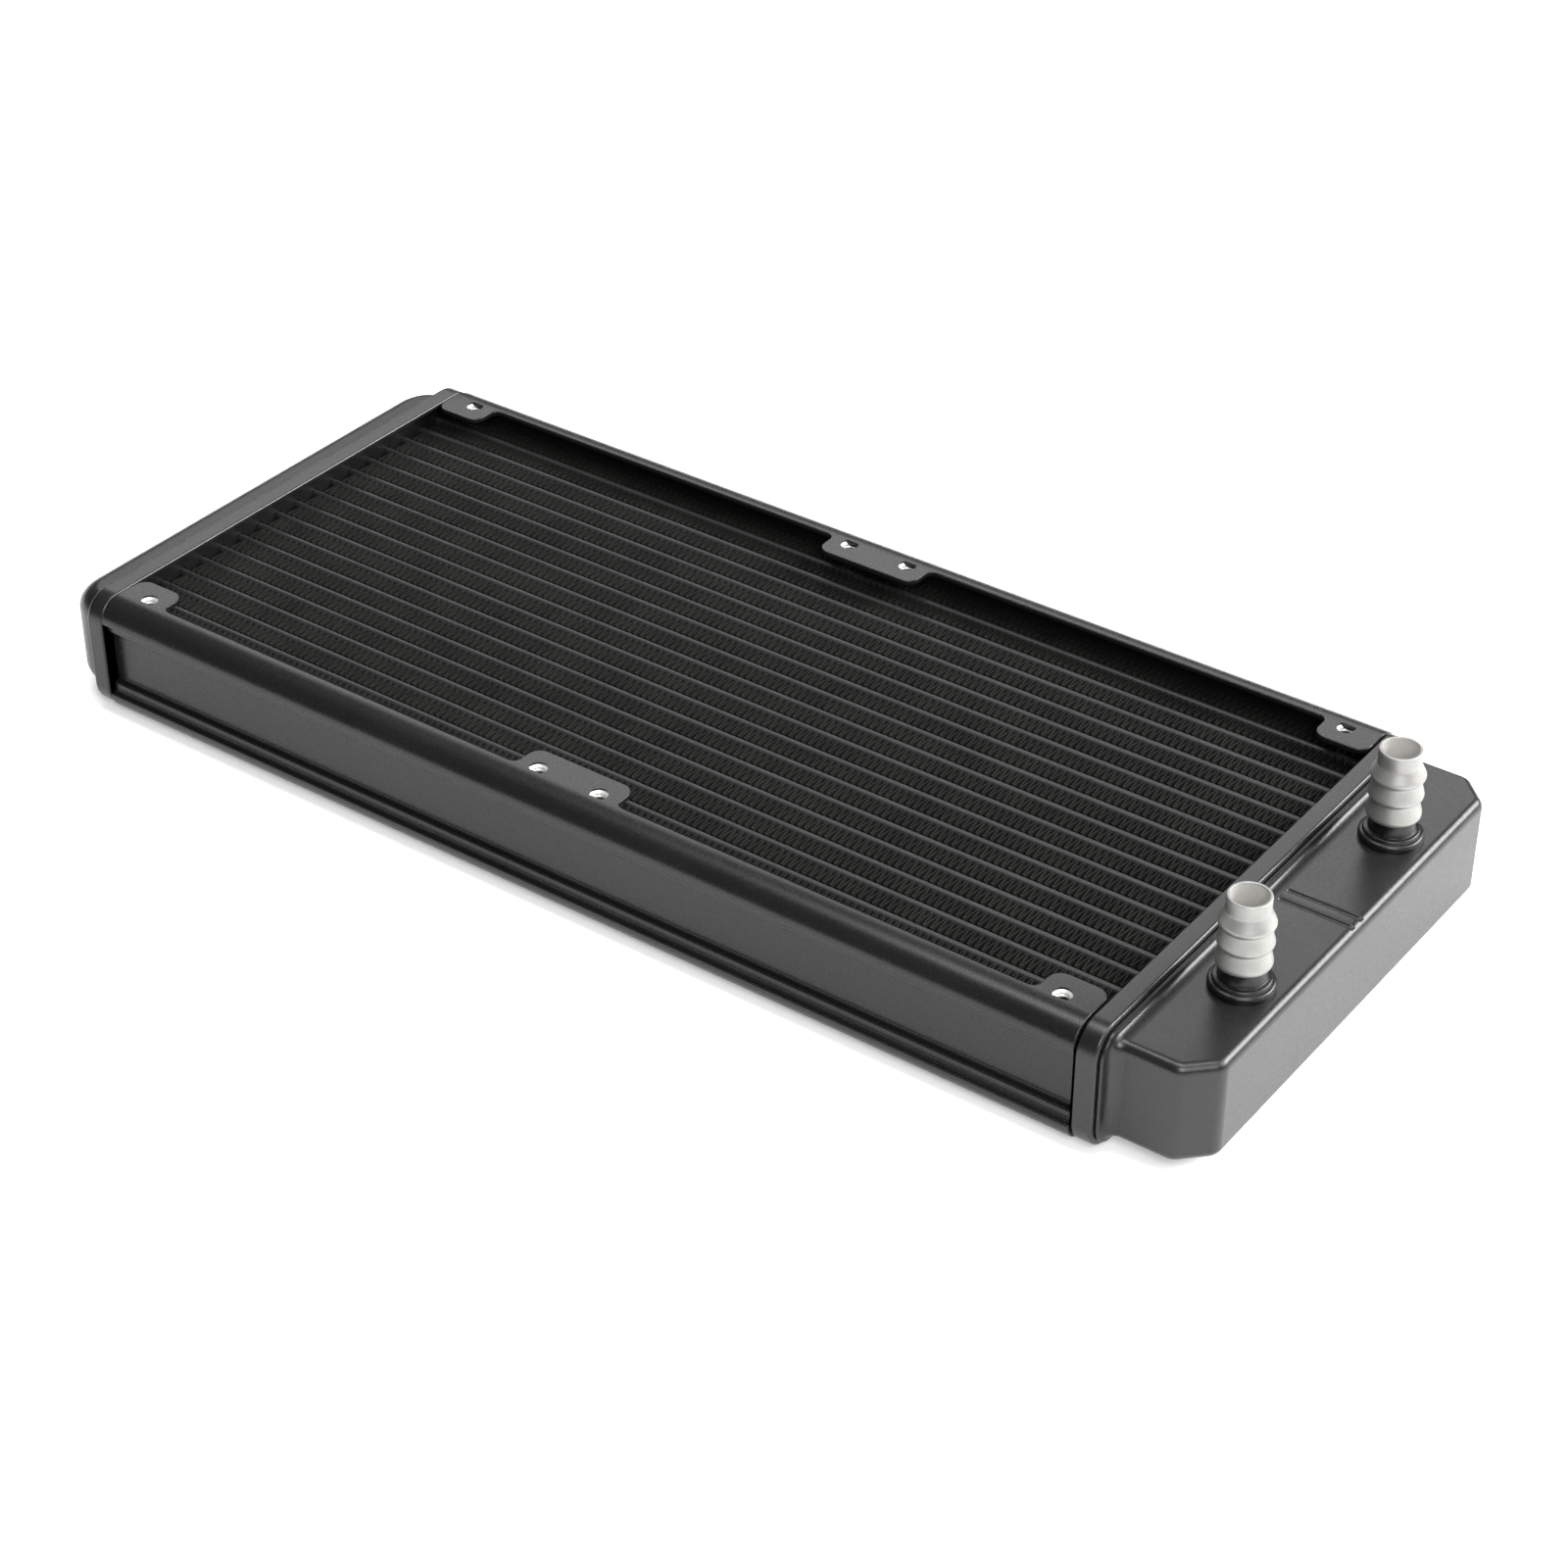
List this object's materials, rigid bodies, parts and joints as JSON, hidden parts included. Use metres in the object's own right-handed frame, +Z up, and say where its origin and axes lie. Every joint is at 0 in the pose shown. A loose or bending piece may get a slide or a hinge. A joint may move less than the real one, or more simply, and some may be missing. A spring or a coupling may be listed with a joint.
{
  "type": "water cooling radiator",
  "caption": "Flat finned-tube radiator with a tank at each end, hose barbs on the deeper tank and folded side covers with fan screw tabs.",
  "frame": {"origin": "middle of the bounding box on the plane the part lies on", "axes": "+X along the tubes towards the tank with the hose barbs, +Z up, the way the barbs point"},
  "size_m": [0.2784, 0.12, 0.0444],
  "materials": {
    "cover_coat": "satin",
    "tank_coat": "satin",
    "tube_coat": "satin",
    "fin_sheet": "satin",
    "bare_metal": "satin",
    "inner_plate": "satin"
  },
  "bodies": {
    "root": {"fin_strip_01": "fin_sheet", "fin_strip_02": "fin_sheet", "fin_strip_03": "fin_sheet", "fin_strip_04": "fin_sheet", "fin_strip_05": "fin_sheet", "fin_strip_06": "fin_sheet", "fin_strip_07": "fin_sheet", "fin_strip_08": "fin_sheet", "fin_strip_09": "fin_sheet", "fin_strip_10": "fin_sheet", "fin_strip_11": "fin_sheet", "fin_strip_12": "fin_sheet", "fin_strip_13": "fin_sheet", "fin_strip_14": "fin_sheet", "fin_strip_15": "fin_sheet", "fin_strip_16": "fin_sheet", "fin_strip_17": "fin_sheet", "fin_strip_18": "fin_sheet", "fin_strip_19": "fin_sheet", "flat_tube_01": "tube_coat", "flat_tube_02": "tube_coat", "flat_tube_03": "tube_coat", "flat_tube_04": "tube_coat", "flat_tube_05": "tube_coat", "flat_tube_06": "tube_coat", "flat_tube_07": "tube_coat", "flat_tube_08": "tube_coat", "flat_tube_09": "tube_coat", "flat_tube_10": "tube_coat", "flat_tube_11": "tube_coat", "flat_tube_12": "tube_coat", "flat_tube_13": "tube_coat", "flat_tube_14": "tube_coat", "flat_tube_15": "tube_coat", "flat_tube_16": "tube_coat", "flat_tube_17": "tube_coat", "flat_tube_18": "tube_coat", "flow_divider": "inner_plate", "header_port_end": "tank_coat", "header_return_end": "tank_coat", "hose_barb_far": "bare_metal", "hose_barb_near": "bare_metal", "port_tank": "tank_coat", "return_tank": "tank_coat", "side_cover_far": "cover_coat", "side_cover_near": "cover_coat"}
  },
  "joints": []
}
